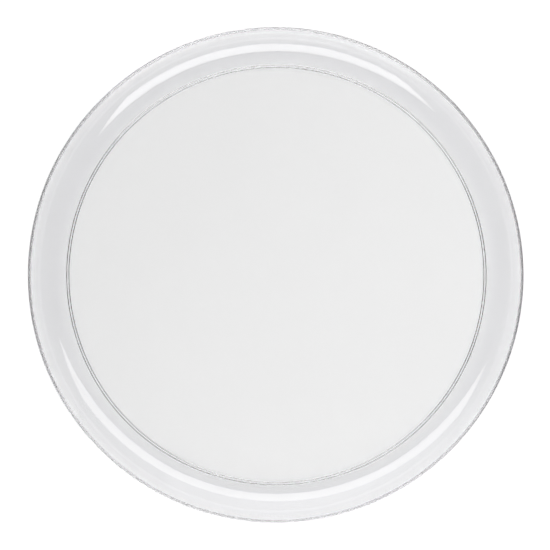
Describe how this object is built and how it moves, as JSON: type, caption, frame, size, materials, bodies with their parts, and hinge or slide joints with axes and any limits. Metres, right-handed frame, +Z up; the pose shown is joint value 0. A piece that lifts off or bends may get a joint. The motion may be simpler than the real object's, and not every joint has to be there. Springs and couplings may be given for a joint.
{
  "type": "round tray",
  "caption": "Shallow round tray in clear plastic, moulded in one piece: a flat floor, a coved wall, a rounded rim and a thin foot ring under the floor's edge.",
  "frame": {"origin": "on the tray's axis, in the plane that the foot ring stands on", "axes": "+Z up, along the tray's axis of symmetry; X and Y are level, and no direction round the tray differs from another"},
  "size_m": [0.305, 0.305, 0.0188],
  "materials": {
    "clear_plastic": "clear and colourless, polished on both sides, as it leaves the mould"
  },
  "bodies": {
    "root": {"tray": "clear_plastic"}
  },
  "joints": []
}
